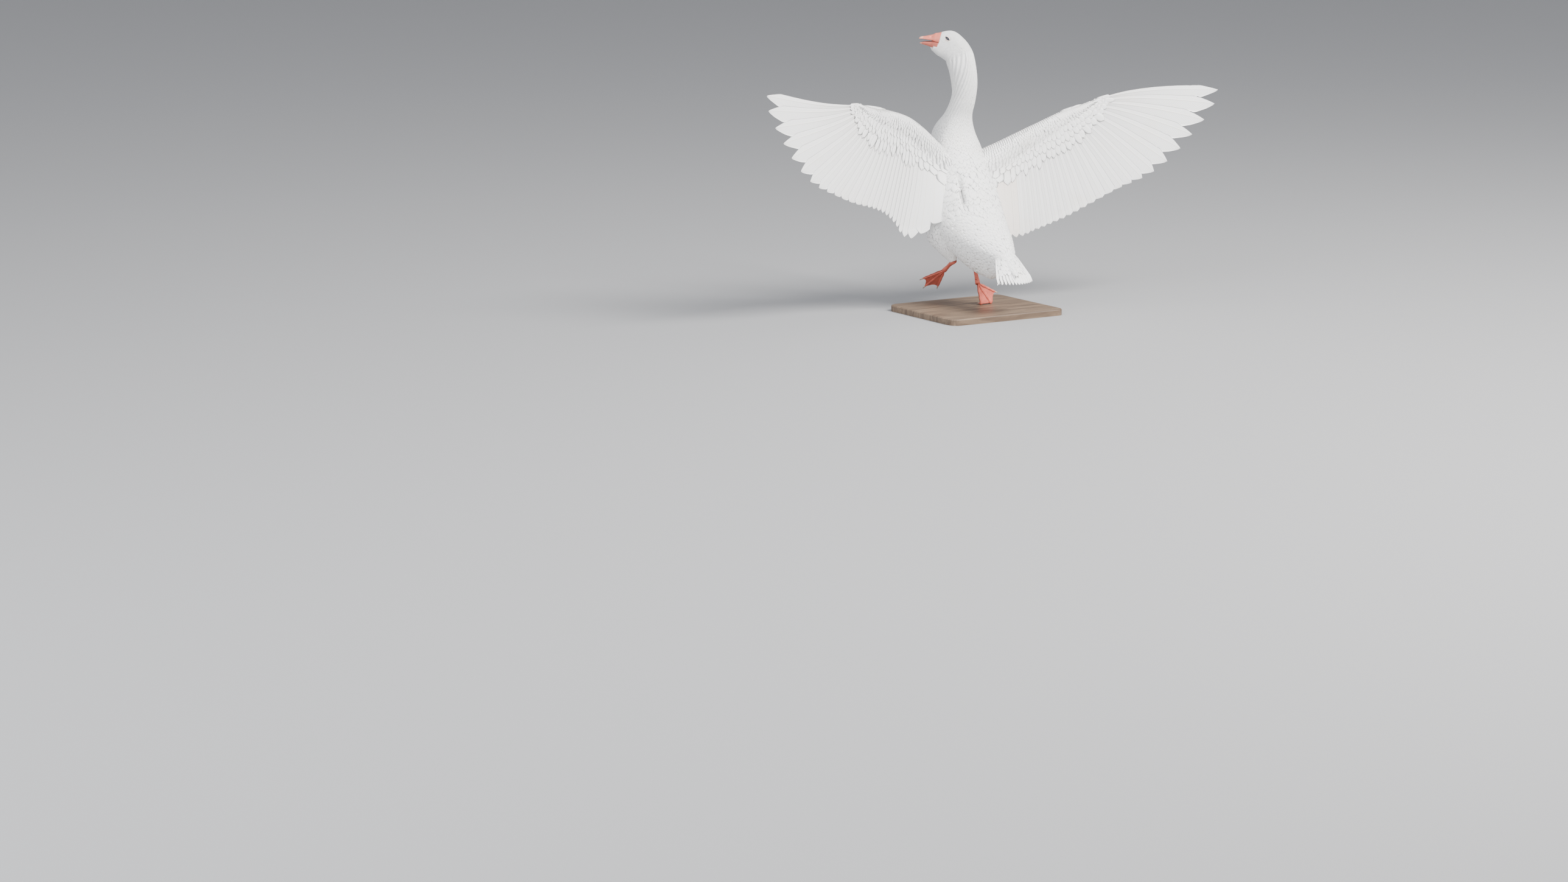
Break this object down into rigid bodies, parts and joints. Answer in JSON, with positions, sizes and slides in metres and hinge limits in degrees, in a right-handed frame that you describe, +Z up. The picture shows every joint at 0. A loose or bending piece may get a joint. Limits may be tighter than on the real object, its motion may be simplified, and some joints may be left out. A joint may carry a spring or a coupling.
{
  "type": "domestic goose",
  "caption": "White domestic goose at life size, running with its wings spread and its head turned to the left, on a flat display base.",
  "frame": {"origin": "centre of the model's box in plan, at the underside of the base", "axes": "+Z up, the goose faces -Y with its left at +X, and its wings spread along X"},
  "size_m": [1.682, 0.4692, 0.9078],
  "materials": {
    "feather": "white body feathers, matt",
    "flight_feather": "white flight feathers, slightly silky",
    "bill": "orange-pink horn, satin",
    "mouth": "moist flesh",
    "eye": "dark glass eye, glossy",
    "leg_skin": "orange scaled skin, satin",
    "claw": "pale horn",
    "base_board": "oiled dark wood"
  },
  "bodies": {
    "root": {"trunk": "feather", "neck_lower": "feather", "neck_upper": "feather", "head": "feather", "tail": "feather", "thigh_left": "feather", "thigh_right": "feather", "upper_arm_left": "feather", "upper_arm_right": "feather", "forearm_left": "feather", "forearm_right": "feather", "hand_left": "feather", "hand_right": "feather", "alula_left": "feather", "alula_right": "feather", "tertials_left": "flight_feather", "tertials_right": "flight_feather", "secondaries_left": "flight_feather", "secondaries_right": "flight_feather", "primaries_left": "flight_feather", "primaries_right": "flight_feather", "bill_upper": "bill", "bill_lower": "bill", "tongue": "mouth", "eye_left": "eye", "eye_right": "eye", "shank_left": "leg_skin", "shank_right": "leg_skin", "foot_left": "leg_skin", "foot_right": "leg_skin", "hind_toe_left": "leg_skin", "hind_toe_right": "leg_skin", "claw_inner_left": "claw", "claw_inner_right": "claw", "claw_middle_left": "claw", "claw_middle_right": "claw", "claw_outer_left": "claw", "claw_outer_right": "claw", "stand_base": "base_board"}
  },
  "joints": []
}
